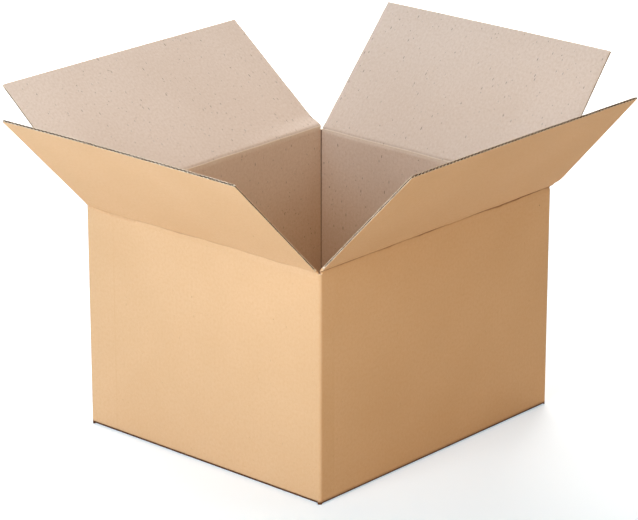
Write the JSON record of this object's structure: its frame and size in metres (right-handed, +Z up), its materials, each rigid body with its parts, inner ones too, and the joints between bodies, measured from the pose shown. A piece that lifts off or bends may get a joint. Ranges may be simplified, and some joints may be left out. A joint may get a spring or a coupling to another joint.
{
  "type": "open cardboard box",
  "caption": "Open corrugated cardboard box with hinged top flaps and a glued bottom, for packing and shipping.",
  "frame": {"origin": "middle of the base's outside, on the surface that the box stands on", "axes": "+Z up, -Y towards the front wall, +X towards the right wall"},
  "size_m": [0.6939, 0.7255, 0.4559],
  "materials": {
    "kraft_board": "matte"
  },
  "bodies": {
    "walls": {"box_body": "kraft_board"},
    "front_flap": {"front_flap": "kraft_board"},
    "back_flap": {"back_flap": "kraft_board"},
    "left_flap": {"left_flap": "kraft_board"},
    "right_flap": {"right_flap": "kraft_board"}
  },
  "joints": [
    {"name": "front_crease", "type": "hinge", "parent": "walls", "child": "front_flap", "pos_m": [0, -0.225, 0.3], "axis": [1, 0, 0], "range_deg": [-134.8, 123.2]},
    {"name": "back_crease", "type": "hinge", "parent": "walls", "child": "back_flap", "pos_m": [0, 0.225, 0.3], "axis": [-1, 0, 0], "range_deg": [-130.7, 127.3]},
    {"name": "left_crease", "type": "hinge", "parent": "walls", "child": "left_flap", "pos_m": [-0.2, 0, 0.3035], "axis": [0, -1, 0], "range_deg": [-142, 116]},
    {"name": "right_crease", "type": "hinge", "parent": "walls", "child": "right_flap", "pos_m": [0.2, 0, 0.3035], "axis": [0, 1, 0], "range_deg": [-133.2, 124.8]}
  ]
}
